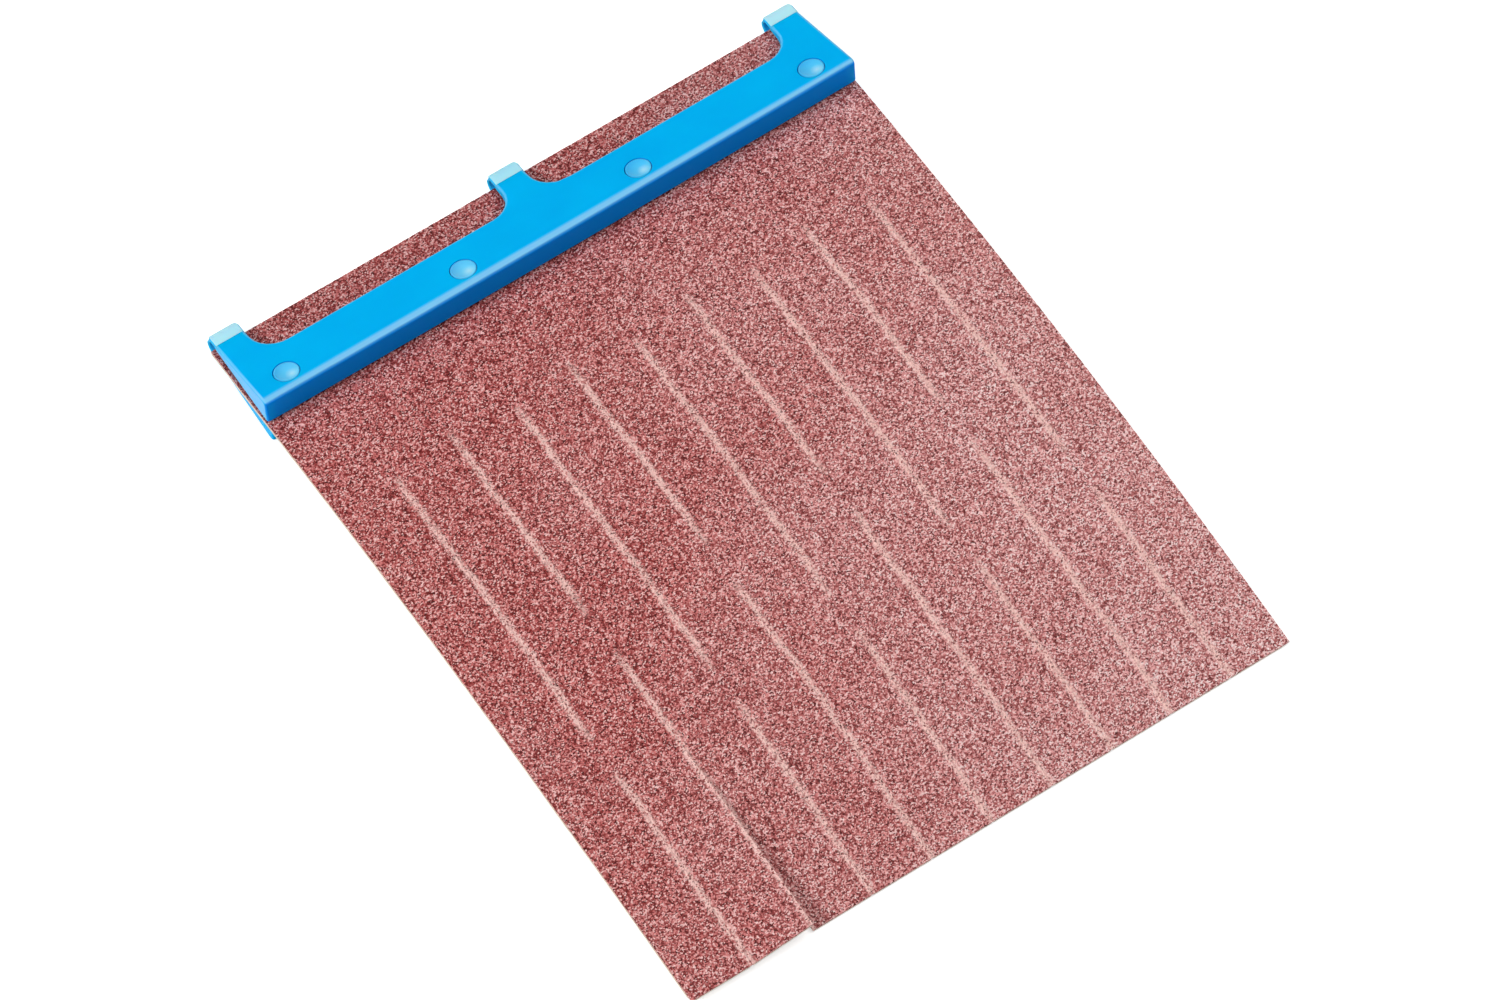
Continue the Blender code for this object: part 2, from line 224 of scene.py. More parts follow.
def coated_abrasive():
    """Aluminium oxide grain in red resin: random dark, red and pale grains, partly painted pit shade and
    glints.
    """
    material, shader = new_material("coated_abrasive")
    links = material.node_tree.links
    place = add_node(material, "ShaderNodeTexCoord")
    grain = add_node(material, "ShaderNodeTexVoronoi", {"feature": "F1"}, {"Scale": 1 / (0.2 * MM)},
                     {"Vector": (place, "Object")})
    facet = add_node(material, "ShaderNodeSeparateColor", links={"Color": (grain, "Color")})
    tone = add_node(material, "ShaderNodeValToRGB", links={"Fac": (facet, "Red")})
    # Random grain tones; the darkest stop partly stands for painted shade in pits, the palest for painted
    # glints
    set_ramp(tone, [(0.0, "400908"), (0.35, "902F2E"), (0.7, "DA7B78"), (1.0, "FFD3CF")])
    dusted_tone = add_node(material, "ShaderNodeValToRGB", links={"Fac": (facet, "Red")})
    set_ramp(dusted_tone, [(0.0, "602424"), (0.35, "BA6A69"), (0.7, "F6BCBA"), (1.0, "FFECEA")])
    # Dust pales the grain in drifts, more of it to the right and towards the free edge
    drift = add_node(material, "ShaderNodeTexNoise", values={"Scale": 1 / (25 * MM), "Detail": 4},
                     links={"Vector": (place, "Object")})
    slant = add_node(material, "ShaderNodeVectorMath", {"operation": "DOT_PRODUCT"}, {1: (8, -5.5, 0)},
                     {0: (place, "Object")})
    patch = add_node(material, "ShaderNodeMath", {"operation": "ADD"},
                     links={0: (drift, "Fac"), 1: (slant, "Value")})
    dusty = add_node(material, "ShaderNodeMapRange",
                     values={"From Min": 0.22, "From Max": 1.17, "To Min": 0.0, "To Max": 0.9},
                     links={"Value": (patch, 0)})
    dusted = add_node(material, "ShaderNodeMix", {"data_type": "RGBA"},
                      links={0: (dusty, "Result"), 6: (tone, "Color"), 7: (dusted_tone, "Color")})
    # Under and beside the clip the grain is painted darker, as painted shade
    clip_shade = add_node(material, "ShaderNodeAttribute", {"attribute_name": "clip_shade"})
    shade_share = add_node(material, "ShaderNodeMath", {"operation": "MULTIPLY"}, {1: 0.15},
                      {0: (clip_shade, "Fac")})
    clip_shaded = add_node(material, "ShaderNodeMix", {"data_type": "RGBA"}, {7: linear("521D1D")},
                     {0: (shade_share, 0), 6: (dusted, 2)})
    # Along the cuts some facets are crushed pale
    crush = add_node(material, "ShaderNodeAttribute", {"attribute_name": "crush"})
    chipped = add_node(material, "ShaderNodeMapRange", values={"To Min": -0.4, "To Max": 2.6},
                       links={"Value": (facet, "Blue")})
    bruise = add_node(material, "ShaderNodeMath", {"operation": "MULTIPLY"},
                      links={0: (crush, "Fac"), 1: (chipped, "Result")})
    worn = add_node(material, "ShaderNodeMix", {"data_type": "RGBA"}, {7: linear("FFD2CA")},
                    {0: (bruise, 0), 6: (clip_shaded, 2)})
    links.new(worn.outputs[2], shader.inputs["Base Color"])
    glint = add_node(material, "ShaderNodeMapRange", values={"To Min": 0.35, "To Max": 0.8},
                     links={"Value": (facet, "Green")})
    links.new(glint.outputs["Result"], shader.inputs["Roughness"])
    rough = add_node(material, "ShaderNodeBump", values={"Strength": 0.8, "Distance": 0.15 * MM},
                     links={"Height": (grain, "Distance")})
    links.new(rough.outputs["Normal"], shader.inputs["Normal"])
    shader.inputs["IOR"].default_value = 1.6
    shader.inputs["Specular IOR Level"].default_value = 0.15
    return material


def cotton_backing():
    """Resin-filled cotton cloth: cream and matt, with the fine ribs of its weave."""
    material, shader = new_material("cotton_backing")
    links = material.node_tree.links
    place = add_node(material, "ShaderNodeTexCoord")
    weave = add_node(material, "ShaderNodeTexWave", {"wave_type": "BANDS", "bands_direction": "X"},
                     {"Scale": 1 / (2.2 * MM), "Distortion": 1.5}, {"Vector": (place, "Object")})
    mottle = add_node(material, "ShaderNodeTexNoise", values={"Scale": 1 / (1.5 * MM), "Detail": 4},
                      links={"Vector": (place, "Object")})
    tone = add_node(material, "ShaderNodeValToRGB", links={"Fac": (mottle, "Fac")})
    set_ramp(tone, [(0.3, "D9C3AE"), (0.7, "EFE2D2")])
    links.new(tone.outputs["Color"], shader.inputs["Base Color"])
    rough = add_node(material, "ShaderNodeBump", values={"Strength": 0.4, "Distance": 0.1 * MM},
                     links={"Height": (weave, "Fac")})
    links.new(rough.outputs["Normal"], shader.inputs["Normal"])
    shader.inputs["Roughness"].default_value = 0.85
    return material


def polypropylene(name, colours, waviness, sheen):
    """Moulded polypropylene: satin with faint flow marks, painted highlights on edges and painted shade
    that deepens the blue.
    """
    light, dark, shade_colour, highlight_colour = colours
    material, shader = new_material(name)
    links = material.node_tree.links
    place = add_node(material, "ShaderNodeTexCoord")
    flow = add_node(material, "ShaderNodeTexNoise", values={"Scale": 1 / (9 * MM), "Detail": 3},
                    links={"Vector": (place, "Object")})
    tone = add_node(material, "ShaderNodeValToRGB", links={"Fac": (flow, "Fac")})
    set_ramp(tone, [(0.3, dark), (0.7, light)])
    # Painted shade: a deeper blue on the jaw's lip and bore rims, the studs' far side, and the straps'
    # sides and loop insides
    painted_shade = add_node(material, "ShaderNodeAttribute", {"attribute_name": "painted_shade"})
    shaded = add_node(material, "ShaderNodeMix", {"data_type": "RGBA"}, {7: linear(shade_colour)},
                    {0: (painted_shade, "Fac"), 6: (tone, "Color")})
    # Painted highlight: pales the jaw's rounded edges and cut-off ends, and lays a glint spot on each stud
    edge = add_node(material, "ShaderNodeAttribute", {"attribute_name": "edge"})
    highlighted = add_node(material, "ShaderNodeMix", {"data_type": "RGBA"}, {7: linear(highlight_colour)},
                      {0: (edge, "Fac"), 6: (shaded, 2)})
    links.new(highlighted.outputs[2], shader.inputs["Base Color"])
    satin = add_node(material, "ShaderNodeTexNoise", values={"Scale": 1 / (0.8 * MM), "Detail": 2},
                     links={"Vector": (place, "Object")})
    gloss = add_node(material, "ShaderNodeMapRange", values={"To Min": 0.26, "To Max": 0.4},
                     links={"Value": (satin, "Fac")})
    links.new(gloss.outputs["Result"], shader.inputs["Roughness"])
    wave = add_node(material, "ShaderNodeBump", values={"Strength": waviness, "Distance": 0.1 * MM},
                    links={"Height": (flow, "Fac")})
    links.new(wave.outputs["Normal"], shader.inputs["Normal"])
    shader.inputs["IOR"].default_value = 1.49
    shader.inputs["Specular IOR Level"].default_value = sheen
    shader.inputs["Subsurface Weight"].default_value = 0.4
    shader.inputs["Subsurface Radius"].default_value = (0.2, 0.6, 1.0)
    shader.inputs["Subsurface Scale"].default_value = 1 * MM
    return material


# Modelling helpers

def clamp(value):
    """The value, kept between 0 and 1."""
    return min(max(value, 0), 1)


def take_up(item):
    """Makes one object the only selected and active one."""
    bpy.ops.object.select_all(action="DESELECT")
    item.select_set(True)
    bpy.context.view_layer.objects.active = item


def copy_of_node(name, node):
    """A new object with a welded copy of a CAD node's mesh, its flat faces whole again."""
    source = frame["nodes"][node]
    item = bpy.data.objects.new(name, source.data.copy())
    item.data.materials.clear()
    bpy.context.scene.collection.objects.link(item)
    take_up(item)
    bpy.ops.object.mode_set(mode="EDIT")
    bpy.ops.mesh.select_all(action="SELECT")
    bpy.ops.mesh.remove_doubles(threshold=WELD_REACH)
    bpy.ops.mesh.dissolve_limited(angle_limit=FLAT_ANGLE)
    bpy.ops.mesh.customdata_custom_splitnormals_clear()
    bpy.ops.object.mode_set(mode="OBJECT")
    return item


def beside(point, box, margin):
    """Tells whether a point lies in a box or within a margin of it, seen from above."""
    low, high = box
    in_x = low[0] - margin < point.x < high[0] + margin
    return in_x and low[1] - margin < point.y < high[1] + margin


def at_bore(point):
    """Tells whether a point lies in or beside one of the studs' bores."""
    return any(beside(point, box, BORE_MARGIN) for box in STUD_BOXES)


def weigh_edges(item):
    """Weighs sharp edges for rounding: full outside, little at a bore, none where straps meet jaws."""
    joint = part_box("hinge_strap_middle")[0][1]
    body = bmesh.new()
    body.from_mesh(item.data)
    weights = []
    for edge in body.edges:
        middle = (edge.verts[0].co + edge.verts[1].co) / 2
        at_joint = all(abs(vert.co.y - joint) < JOINT_REACH for vert in edge.verts)
        sharp = edge.calc_face_angle(0) > SHARP_ANGLE and not at_joint
        weights.append(0.0 if not sharp else BORE_ROUNDING_SHARE if at_bore(middle) else 1.0)
    body.free()
    item.data.attributes.new("bevel_weight_edge", "FLOAT", "EDGE").data.foreach_set("value", weights)


def soften(item, width):
    """Rounds an object's sharp edges and shades its curves smooth."""
    take_up(item)
    weigh_edges(item)
    bevel = item.modifiers.new("rounding", "BEVEL")
    bevel.width = width
    bevel.segments = ROUNDING_STEPS
    bevel.limit_method = "WEIGHT"
    bevel.use_clamp_overlap = False
    bpy.ops.object.modifier_apply(modifier=bevel.name)
    bpy.ops.object.shade_smooth_by_angle(angle=SMOOTH_ANGLE)
    even = item.modifiers.new("even_shading", "WEIGHTED_NORMAL")
    even.keep_sharp = True
    bpy.ops.object.modifier_apply(modifier=even.name)


def set_marks(item, name, domain, values):
    """Stores one number for each vertex or face corner of a mesh, for its material to read."""
    item.data.attributes.new(name, "FLOAT", domain).data.foreach_set("value", values)


def finish_piece(item, material, body, node):
    """Gives a piece its finish, and its place in the moving model."""
    item.data.materials.append(material)
    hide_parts(node)
    if body:
        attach(item, body)


# Clip

def roundings(item):
    """Tells for each face whether it is one of the narrow strips of a rounded edge."""
    body = bmesh.new()
    body.from_mesh(item.data)
    narrow = [face.calc_area() / face.calc_perimeter() < ROUNDING_STRIP for face in body.faces]
    body.free()
    return narrow


def bow_lip(jaw):
    """Divides the front jaw's lip along the bar and bows it forward, as the moulding has warped."""
    body = bmesh.new()
    body.from_mesh(jaw.data)
    front = min(vert.co.y for vert in body.verts)
    end = max(vert.co.x for vert in body.verts)
    for x in np.linspace(LIP_GLOW - end, end - LIP_GLOW, LIP_LINES):
        faces = [face for face in body.faces if all(vert.co.y < front + LIP_DEPTH for vert in face.verts)]
        edges = list(dict.fromkeys(edge for face in faces for edge in face.edges))
        verts = list(dict.fromkeys(vert for face in faces for vert in face.verts))
        bmesh.ops.bisect_plane(body, geom=verts + edges + faces, plane_co=(x, 0, 0), plane_no=(1, 0, 0))
    for vert in body.verts:
        if vert.co.y < front + LIP_DEPTH:
            vert.co.y -= LIP_BOW * (1 - ((vert.co.x - LIP_BOW_MIDDLE) / LIP_BOW_SPAN) ** 2)
    body.to_mesh(jaw.data)
    body.free()


def shade_front_jaw(jaw):
    """Marks the front jaw's painted highlights on edges and ends, and its painted shade on lip and bore
    rims, for its material to read.
    """
    edge, painted_shade = [], []
    narrow = roundings(jaw)
    top = max(jaw.data.polygons, key=lambda face: face.area).normal
    end = max(vert.co.x for vert in jaw.data.vertices)
    front = min(vert.co.y for vert in jaw.data.vertices)
    for face in jaw.data.polygons:
        turned = abs(face.normal.x) < SIDEWAYS and SLOPED[0] < face.normal.dot(top) < SLOPED[1]
        for index in face.vertices:
            vert = jaw.data.vertices[index]
            if narrow[face.index] or turned:
                in_bore = at_bore(vert.co)
                lean = vert.normal.dot(top)
                # Painted highlight down each rounding, and painted shade on its forward-facing lower part
                # and at the bore rims
                upper = clamp((lean - HIGHLIGHT_START) / HIGHLIGHT_RISE)
                highlight_share = LIP_HIGHLIGHT if vert.co.y < front + LIP_HIGHLIGHT_REACH else EDGE_HIGHLIGHT
                edge.append(0.0 if in_bore else highlight_share * upper * clamp((1 - lean) / HIGHLIGHT_FALL))
                painted_shade.append(RIM_SHADE if in_bore else 1 - upper if vert.normal.y < -FORWARD else 0.0)
            else:
                # Painted shade on the lip, fading to a painted glow at its ends; the cut-off ends painted
                # pale as reflected white
                on_end = abs(face.normal.x) > SIDEWAYS and abs(face.center.x) > end - END_REACH
                on_lip = face.normal.y < -SIDEWAYS and not on_end
                glow = LIP_GLOW_SHARE * max(0, 1 - (end - abs(vert.co.x)) / LIP_GLOW)
                edge.append(END_HIGHLIGHT if on_end else 0.0)
                painted_shade.append(1 - glow if on_lip else END_SHADE if on_end else 0.0)
    set_marks(jaw, "edge", "CORNER", edge)
    set_marks(jaw, "painted_shade", "CORNER", painted_shade)


def dish_end(stud, width):
    """Spreads a stud's end to fill its bore and sinks a round dish into it, ring by ring."""
    take_up(stud)
    bpy.ops.object.mode_set(mode="EDIT")
    bpy.ops.mesh.select_mode(type="FACE")
    bpy.ops.mesh.select_all(action="DESELECT")
    body = bmesh.from_edit_mesh(stud.data)
    highest = max(body.faces, key=lambda face: face.calc_center_median().z)
    for face in body.faces:
        face.select_set(face.normal.angle(highest.normal) < END_ANGLE)
    bmesh.update_edit_mesh(stud.data)
    bpy.ops.mesh.dissolve_faces()
    bpy.ops.transform.resize(value=(STUD_SPREAD, STUD_SPREAD, STUD_SPREAD))
    bpy.ops.mesh.inset(thickness=STUD_RIM, depth=STUD_RIM_RISE)
    ring = (width / 2 - STUD_RIM) / (DISH_RINGS + 1)
    for step in range(DISH_RINGS):
        inner = 1 - (step + 1) / (DISH_RINGS + 1)
        outer = 1 - step / (DISH_RINGS + 1)
        bpy.ops.mesh.inset(thickness=ring, depth=DISH_DEPTH * (inner ** 2 - outer ** 2))
    bpy.ops.object.mode_set(mode="OBJECT")
    bpy.ops.object.shade_smooth_by_angle(angle=SHARP_ANGLE)


def shade_stud(stud, low, high):
    """Marks a painted glint spot in a stud's dish, and painted shade on the dish's far side, for its
    material to read.
    """
    radius = (high.x - low.x) / 2
    spot, shaded = [], []
    for vert in stud.data.vertices:
        x, y = ((vert.co - (low + high) / 2) / radius).xy
        away = math.hypot(x - GLINT_SPOT[0], y - GLINT_SPOT[1])
        spot.append(GLINT_SPOT_STRENGTH * max(0, 1 - away / GLINT_SPOT_REACH))
        shaded.append(FAR_SIDE_SHADE * clamp(away - GLINT_SPOT_REACH))
    set_marks(stud, "edge", "POINT", spot)
    set_marks(stud, "painted_shade", "POINT", shaded)


def prong_ends(node):
    """Height and place in Y of the corners of a jaw's prong ends, where the straps grow out."""
    points = [vert.co for vert in frame["nodes"][node].data.vertices]
    back = max(point.y for point in points)
    return [(point.z, point.y) for point in points if point.y > back - PRONG_END_SLOPE]


def shape_strap(strap, low, high):
    """Rounds the outer corners of a strap's loop and draws out its legs until they meet the jaws flush."""
    heights, places = zip(*sorted(prong_ends("back_jaw") + prong_ends("front_jaw")))
    body = bmesh.new()
    body.from_mesh(strap.data)
    middle = (low.x + high.x) / 2
    half_height = (high.z - low.z) / 2
    cut = [face for face in body.faces if face.normal.y < -STRAP_CUT_FACING
           and face.calc_center_median().y < low.y + JOINT_REACH]
    ends = {vert for face in cut for vert in face.verts}
    for vert in body.verts:
        share = max(0, 1 - (high.y - vert.co.y) / STRAP_CORNER_RADIUS)
        drawn = STRAP_CORNER_RADIUS * (1 - math.sqrt(1 - share * share))
        vert.co.x -= math.copysign(drawn, vert.co.x - middle)
        vert.co.z += STRAP_RISE * max(0, (vert.co.z - low.z) / half_height - 1)
        if vert in ends:
            vert.co.y = np.interp(vert.co.z, heights, places) + JOIN_GAP
    body.to_mesh(strap.data)
    body.free()


def shade_strap(strap, low, high):
    """Marks painted shade on a strap, a deeper blue at its cut sides and inside its loop, for its material
    to read.
    """
    core = Vector((0, low.y, (low.z + high.z) / 2))
    marks = []
    for face in strap.data.polygons:
        inside = face.normal.yz.dot((face.center - core).yz) < 0
        marks += [float(inside or abs(face.normal.x) > SIDEWAYS)] * face.loop_total
    set_marks(strap, "painted_shade", "CORNER", marks)


def make_clip(blue, pale, thin):
    """The two jaws, the studs through them and the straps that join them."""
    for node, body in (("front_jaw", "front_jaw"), ("back_jaw", "clip_and_sheet")):
        jaw = copy_of_node(f"{node}_moulding", node)
        if node == "front_jaw":
            bow_lip(jaw)
        soften(jaw, EDGE_ROUNDING)
        if node == "front_jaw":
            shade_front_jaw(jaw)
        finish_piece(jaw, blue, body, node)
    for node in STUD_NODES:
        stud = copy_of_node(f"{node}_moulding", node)
        low, high = corners(node)
        dish_end(stud, high.x - low.x)
        shade_stud(stud, low, high)
        finish_piece(stud, pale, "front_jaw", node)
    for side in ("left", "middle", "right"):
        node = f"hinge_strap_{side}"
        low, high = corners(node)
        strap = copy_of_node(f"{node}_web", node)
        shape_strap(strap, low, high)
        soften(strap, STRAP_EDGE_ROUNDING)
        shade_strap(strap, low, high)
        finish_piece(strap, thin, None, node)
        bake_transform(strap)


# Sheet

def top_line(finger):
    """Y and Z along the top of the CAD sheet, from one finger's free edge to the clipped edge."""
    places = set()
    for node in ("abrasive_sheet", finger):
        mesh = frame["nodes"][node].data
        for face in mesh.polygons:
            if face.normal.z > MOSTLY_UP:
                for index in face.vertices:
                    point = mesh.vertices[index].co
                    places.add((round(point.y, 6), round(point.z, 6)))
    line = np.array(sorted(places))
    return line[:, 0], line[:, 1]


def slit_spans():
    """Each cut of the sheet, as its X and its lower and upper end in Y."""
    spans = []
    free_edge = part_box("sheet_finger_05")[0][1]
    for column in range(1, STRIP_COUNT):
        x = SHEET_LOW.x + STRIP_PITCH * column
        upper = ODD_UPPER_SLIT if column % 2 else EVEN_UPPER_SLIT
        lower_top = ROOT_PLACE.y if column % 2 else SHEET_HIGH.y - EVEN_LOWER_SLIT_START
        spans.append((x, SHEET_HIGH.y - upper[1], SHEET_HIGH.y - upper[0]))
        spans.append((x, free_edge, lower_top))
    return spans


def crush_at(x, y):
    """How far the grain is crushed pale beside the cuts, from 0 to 1, uneven along each cut."""
    rng = np.random.default_rng(GRAIN_SEED)
    marks = np.arange(-CRUSH_SPAN, CRUSH_SPAN, CRUSH_STEP)
    crush = np.zeros_like(x)
    for at, low, high in slit_spans():
        strength = rng.uniform(*CRUSH_STRENGTH, len(marks))
        lean = (rng.random(len(marks)) - 0.5) * CRUSH_WANDER
        along = np.clip(np.maximum(low - y, y - high), 0, None)
        gap = np.hypot(x - at - np.interp(y, marks, lean), along)
        runs_out = low < ROOT_PLACE.y
        ends = np.clip(np.minimum((high - y) / CRUSH_FADE, (y - low) / CRUSH_FADE + runs_out), 0, 1)
        band = np.clip(1 - gap / CRUSH_REACH, 0, 1) * np.interp(y, marks, strength)
        crush = np.maximum(crush, band * (CRUSH_END_SHARE + (1 - CRUSH_END_SHARE) * ends))
    return crush


def make_coat(name, columns, rows, y_from, y_to, line, draws):
    """Grit surface of some strips: a fine grid, cut along its slits, with a height for every grain."""
    first, last = columns
    x_from = SHEET_LOW.x + STRIP_PITCH * first
    x_to = SHEET_LOW.x + STRIP_PITCH * last
    across = GRAIN_COLUMNS * (last - first)
    bpy.ops.object.select_all(action="DESELECT")
    bpy.ops.mesh.primitive_grid_add(x_subdivisions=across, y_subdivisions=rows[1] - rows[0], size=1)
    item = bpy.context.object
    item.name = name
    bpy.ops.object.mode_set(mode="EDIT")
    bpy.ops.transform.resize(value=(x_to - x_from, y_to - y_from, 1))
    bpy.ops.transform.translate(value=((x_from + x_to) / 2, (y_from + y_to) / 2, 0))
    split_slits(item, x_from, x_to)
    punch_holes(item)
    bpy.ops.object.mode_set(mode="OBJECT")
    raise_grain(item, rows, y_from, y_to, line, draws)
    take_up(item)
    bpy.ops.object.mode_set(mode="EDIT")
    bpy.ops.mesh.select_mode(type="EDGE")
    bpy.ops.mesh.select_all(action="DESELECT")
    bpy.ops.mesh.select_non_manifold(use_wire=False, use_multi_face=False, use_non_contiguous=False,
                                     use_verts=False)
    bpy.ops.mesh.extrude_edges_move(TRANSFORM_OT_translate={"value": (0, 0, -COAT_DEPTH)})
    bpy.ops.object.mode_set(mode="OBJECT")
    return item


def split_slits(item, x_from, x_to):
    """Splits the grid's edges along each cut inside it."""
    body = bmesh.from_edit_mesh(item.data)
    slack = (SHEET_HIGH.y - ROOT_PLACE.y) / PANEL_ROWS / 4
    spans = [span for span in slit_spans() if x_from + SAME_PLACE < span[0] < x_to - SAME_PLACE]
    for edge in body.edges:
        a, b = (vert.co for vert in edge.verts)
        middle = (a.y + b.y) / 2
        lengthwise = abs(a.x - b.x) < SAME_PLACE
        edge.select = lengthwise and any(abs(a.x - x) < SAME_PLACE and low - slack < middle < high + slack
                                         for x, low, high in spans)
    bmesh.update_edit_mesh(item.data)
    bpy.ops.mesh.select_mode(type="EDGE")
    if spans:
        bpy.ops.mesh.edge_split(type="EDGE")


def stud_holes():
    """Centre and radius of each hole that the CAD sheet has for a stud."""
    points = [vert.co for vert in frame["nodes"]["abrasive_sheet"].data.vertices]
    holes = []
    for box in STUD_BOXES:
        rim = [p for p in points if beside(p, box, HOLE_MARGIN)]
        xs = [p.x for p in rim]
        ys = [p.y for p in rim]
        centre = Vector(((min(xs) + max(xs)) / 2, (min(ys) + max(ys)) / 2))
        holes.append((centre, (max(xs) - min(xs)) / 2))
    return holes


def punch_holes(item):
    """Cuts the studs' holes into a coat, with round rims."""
    body = bmesh.from_edit_mesh(item.data)
    holes = stud_holes()
    bpy.ops.mesh.select_mode(type="FACE")
    for face in body.faces:
        middle = face.calc_center_median().xy
        face.select_set(any((middle - centre).length < radius for centre, radius in holes))
    bmesh.update_edit_mesh(item.data)
    bpy.ops.mesh.delete(type="FACE")
    body = bmesh.from_edit_mesh(item.data)
    for vert in body.verts:
        for centre, radius in holes:
            away = vert.co.xy - centre
            if vert.is_boundary and away.length < radius + HOLE_RIM_REACH:
                vert.co.xy = centre + away.normalized() * radius
    bmesh.update_edit_mesh(item.data)


def raise_grain(item, rows, y_from, y_to, line, draws):
    """Lays the grid on the sheet's bend, opens its cuts and gives each grain its height and place."""
    mesh = item.data
    count = len(mesh.vertices)
    points = np.empty(count * 3)
    mesh.vertices.foreach_get("co", points)
    points = points.reshape(-1, 3)
    x, y = points[:, 0].copy(), points[:, 1].copy()
    column = np.rint((x - SHEET_LOW.x) / STRIP_PITCH * GRAIN_COLUMNS).astype(int)
    row = rows[0] + np.rint((y - y_from) / (y_to - y_from) * (rows[1] - rows[0])).astype(int)
    rise, shift_x, shift_y = draws[:, row, column]
    crush = crush_at(x, y)
    points[:, 2] = np.interp(y, *line) - GRAIN_HEIGHT + rise * GRAIN_HEIGHT
    points[:, 2] += CURL_HEIGHT * crush
    # A vertex on a cut has faces on one side only, so their middles don't balance
    side = np.zeros(count)
    for face in mesh.polygons:
        for index in face.vertices:
            side[index] += face.center.x - x[index]
    edge_of_cut = (column % GRAIN_COLUMNS == 0) & (np.abs(side) > BALANCED)
    inside = (column % GRAIN_COLUMNS != 0) & (row > rows[0]) & (row < rows[1])
    scatter = GRAIN_SCATTER * STRIP_PITCH / GRAIN_COLUMNS
    points[:, 0] = np.where(edge_of_cut, x + np.sign(side) * CUT_GAP / 2, x)
    points[:, 0] += np.where(inside, (shift_x - 0.5) * scatter, 0)
    points[:, 1] += np.where(inside, (shift_y - 0.5) * scatter, 0)
    points[:, 0] = np.clip(points[:, 0], SHEET_LOW.x, SHEET_HIGH.x)
    mesh.vertices.foreach_set("co", points.ravel())
    set_marks(item, "crush", "POINT", crush.astype(np.float32))
    # Painted shade on the grain under and beside the clip, for the grit's material to read
    clip_shade = np.clip((y - SHEET_HIGH.y + CLIP_SHADE_REACH) / CLIP_SHADE_FADE, 0, 1)
    set_marks(item, "clip_shade", "POINT", clip_shade.astype(np.float32))
    mesh.update()


def twist_finger(item):
    """Lifts a finger's right side towards its free end, as it has sprung up."""
    low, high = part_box(TWISTED_FINGER)
    for vert in item.data.vertices:
        along = clamp((ROOT_PLACE.y - vert.co.y) / (ROOT_PLACE.y - low[1]))
        across = clamp((vert.co.x - low[0]) / (high[0] - low[0]))
        vert.co.z += TWIST_LIFT * across * along


def make_backing(name, node):
    """Cloth under the grit: the CAD sheet, its top lowered, its finger roots closed, its bends divided."""
    item = copy_of_node(name, node)
    body = bmesh.new()
    body.from_mesh(item.data)
    top = {vert for face in body.faces if face.normal.z > MOSTLY_UP for vert in face.verts}
    for vert in top:
        vert.co.z -= COAT_DEPTH
    for vert in body.verts:
        if abs(vert.co.y - ROOT_PLACE.y) < ROOT_GAP_REACH:
            vert.co.y = ROOT_PLACE.y
    for step in range(1, FLEX_LINES + 1):
        place = ROOT_PLACE - Vector((0, FLEX_REACH * step / FLEX_LINES, 0))
        bmesh.ops.bisect_plane(body, geom=body.verts[:] + body.edges[:] + body.faces[:], plane_co=place,
                               plane_no=(0, 1, 0))
    body.to_mesh(item.data)
    body.free()
    return item


def make_sheet(grit, cloth):
    """The clamped panel and its fingers, each as grit over cloth."""
    rng = np.random.default_rng(GRAIN_SEED)
    draws = rng.random((3, FINGER_ROWS + PANEL_ROWS + 1, GRAIN_COLUMNS * STRIP_COUNT + 1))
    line = top_line("sheet_finger_05")
    panel = make_coat("panel_grit", (0, STRIP_COUNT), (FINGER_ROWS, FINGER_ROWS + PANEL_ROWS),
                      ROOT_PLACE.y, SHEET_HIGH.y, line, draws)
    finish_piece(panel, grit, "clip_and_sheet", "abrasive_sheet")
    backing = make_backing("panel_cloth", "abrasive_sheet")
    finish_piece(backing, cloth, "clip_and_sheet", "abrasive_sheet")
    for index in range(STRIP_COUNT):
        node = f"sheet_finger_{index + 1:02d}"
        coat = make_coat(f"{node}_grit", (index, index + 1), (0, FINGER_ROWS),
                         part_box(node)[0][1], ROOT_PLACE.y, top_line(node), draws)
        under = make_backing(f"{node}_cloth", node)
        if node == TWISTED_FINGER:
            twist_finger(coat)
            twist_finger(under)
        for piece, material in ((coat, grit), (under, cloth)):
            finish_piece(piece, material, None, node)
            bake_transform(piece)


# Stage

def add_background_rays(material):
    """Adds nodes that give 1 to rays that show the background: straight, reflected or let through."""
    ray = add_node(material, "ShaderNodeLightPath")
    direct = add_node(material, "ShaderNodeMath", {"operation": "ADD"},
                      links={0: (ray, "Is Camera Ray"), 1: (ray, "Is Glossy Ray")})
    return add_node(material, "ShaderNodeMath", {"operation": "ADD", "use_clamp": True},
                    links={0: (direct, 0), 1: (ray, "Is Transmission Ray")})


def make_floor():
    """Pale ground that shows white to the camera and in reflections, and keeps the soft shadow."""
    bpy.ops.object.select_all(action="DESELECT")
    bpy.ops.mesh.primitive_plane_add(size=FLOOR_SIZE, location=(0, 0, -FLOOR_DROP))
    floor = bpy.context.object
    floor.name = "floor"
    material, shader = new_material("pale_ground")
    shader.inputs["Base Color"].default_value = linear("F4F4F4")
    shader.inputs["Roughness"].default_value = 1
    shader.inputs["Specular IOR Level"].default_value = 0
    shader.inputs["Emission Color"].default_value = (1, 1, 1, 1)
    shown = add_background_rays(material)
    lift = add_node(material, "ShaderNodeMath", {"operation": "MULTIPLY"}, {1: FLOOR_LIFT}, {0: (shown, 0)})
    material.node_tree.links.new(lift.outputs[0], shader.inputs["Emission Strength"])
    floor.data.materials.append(material)


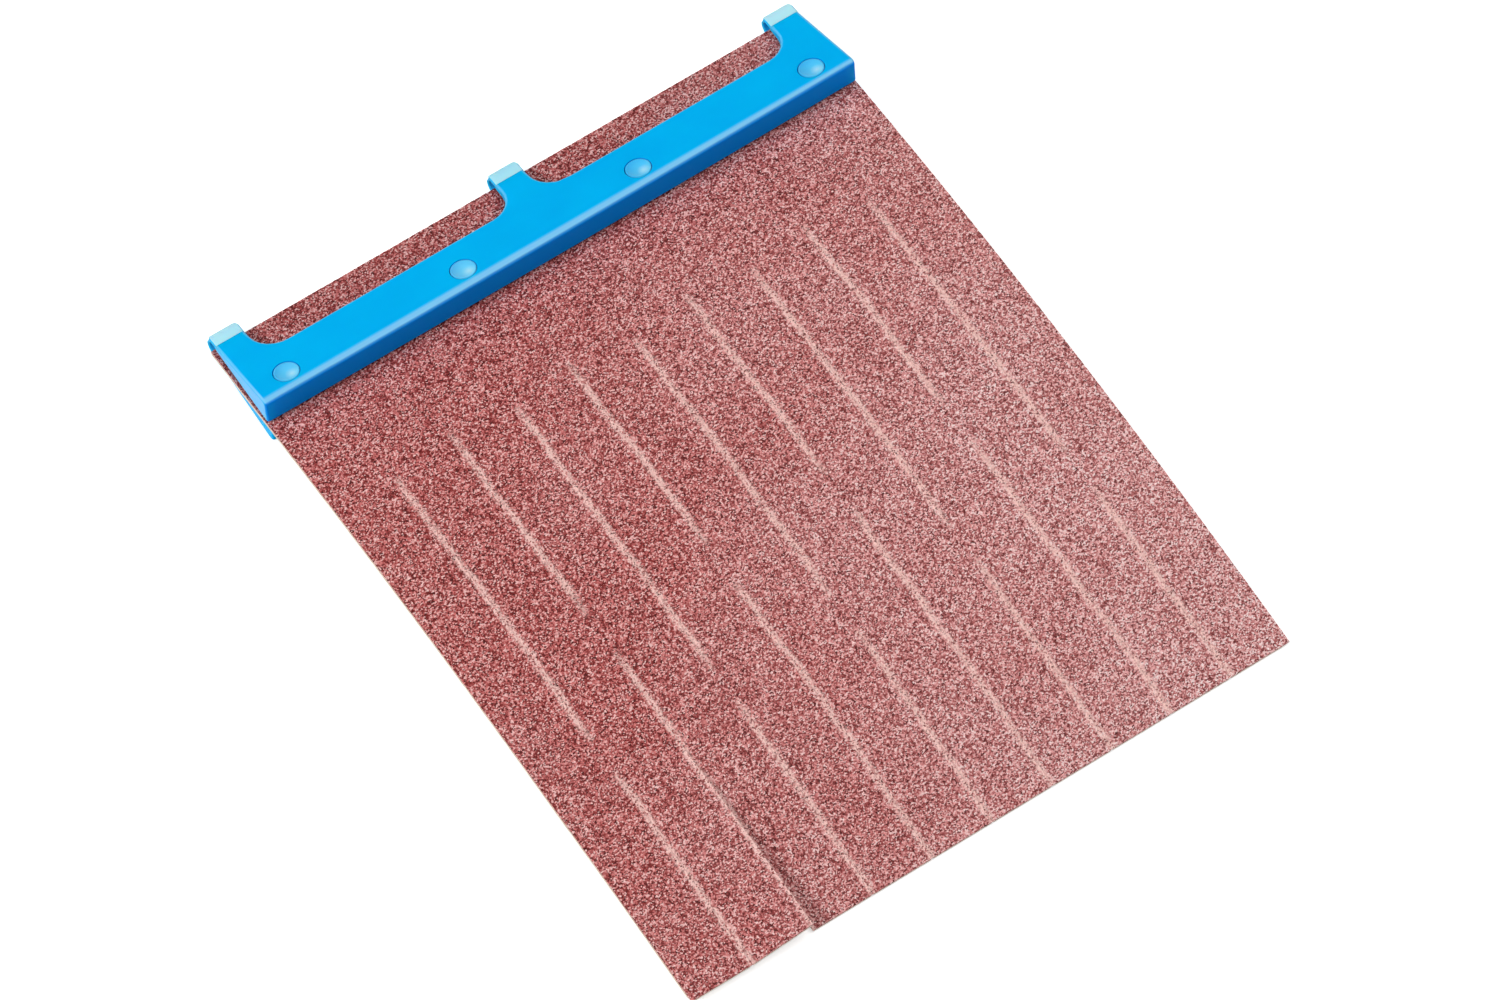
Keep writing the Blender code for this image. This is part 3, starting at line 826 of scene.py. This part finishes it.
def add_softbox(name, place, size, power):
    """A square soft lamp that points at the object."""
    lamp = bpy.data.lights.new(name, "AREA")
    lamp.shape = "SQUARE"
    lamp.size = size
    lamp.energy = power
    item = bpy.data.objects.new(name, lamp)
    item.location = place
    item.rotation_euler = (-Vector(place)).to_track_quat("-Z", "Y").to_euler()
    bpy.context.scene.collection.objects.link(item)


def make_light():
    """A wide softbox overhead, another low on the left that brings out the relief, and a dim room."""
    add_softbox("overhead_softbox", *OVERHEAD_SOFTBOX)
    add_softbox("left_softbox", *LEFT_SOFTBOX)
    room = bpy.data.worlds.new("studio")
    room.use_nodes = True
    bpy.context.scene.world = room
    way = add_node(room, "ShaderNodeTexCoord")
    height = add_node(room, "ShaderNodeSeparateXYZ", links={0: (way, "Generated")})
    glow = add_node(room, "ShaderNodeMapRange", values={"To Min": ROOM_GLOW[0], "To Max": ROOM_GLOW[1]},
                    links={"Value": (height, "Z")})
    shown = add_background_rays(room)
    strength = add_node(room, "ShaderNodeMath", {"operation": "MAXIMUM"},
                        links={0: (glow, "Result"), 1: (shown, 0)})
    background = room.node_tree.nodes["Background"]
    background.inputs["Color"].default_value = (1, 1, 1, 1)
    room.node_tree.links.new(strength.outputs[0], background.inputs["Strength"])


def make_camera():
    """The camera at the photograph's viewing angle."""
    back = Vector((math.sin(CAMERA_AZIMUTH) * math.cos(CAMERA_ELEVATION),
                   -math.cos(CAMERA_AZIMUTH) * math.cos(CAMERA_ELEVATION), math.sin(CAMERA_ELEVATION)))
    right = Vector((math.cos(CAMERA_AZIMUTH), math.sin(CAMERA_AZIMUTH), 0))
    up = back.cross(right)
    lens = bpy.data.cameras.new("camera")
    lens.lens = LENS
    lens.sensor_width = SENSOR
    lens.sensor_fit = "HORIZONTAL"
    camera = bpy.data.objects.new("camera", lens)
    place = right * CAMERA_SLIDE[0] + up * CAMERA_SLIDE[1] + back * CAMERA_DISTANCE
    camera.matrix_world = Matrix.Translation(place) @ Matrix((right, up, back)).transposed().to_4x4()
    bpy.context.scene.collection.objects.link(camera)
    bpy.context.scene.camera = camera


bpy.context.scene.view_settings.view_transform = "Standard"
make_camera()
make_clip(polypropylene("polypropylene_blue", JAW_BLUES, waviness=0.1, sheen=0.02),
          polypropylene("polypropylene_stud", STUD_BLUES, waviness=0.7, sheen=0.2),
          polypropylene("polypropylene_thin_web", STRAP_BLUES, waviness=0.2, sheen=0.02))
make_sheet(coated_abrasive(), cotton_backing())
make_floor()
make_light()
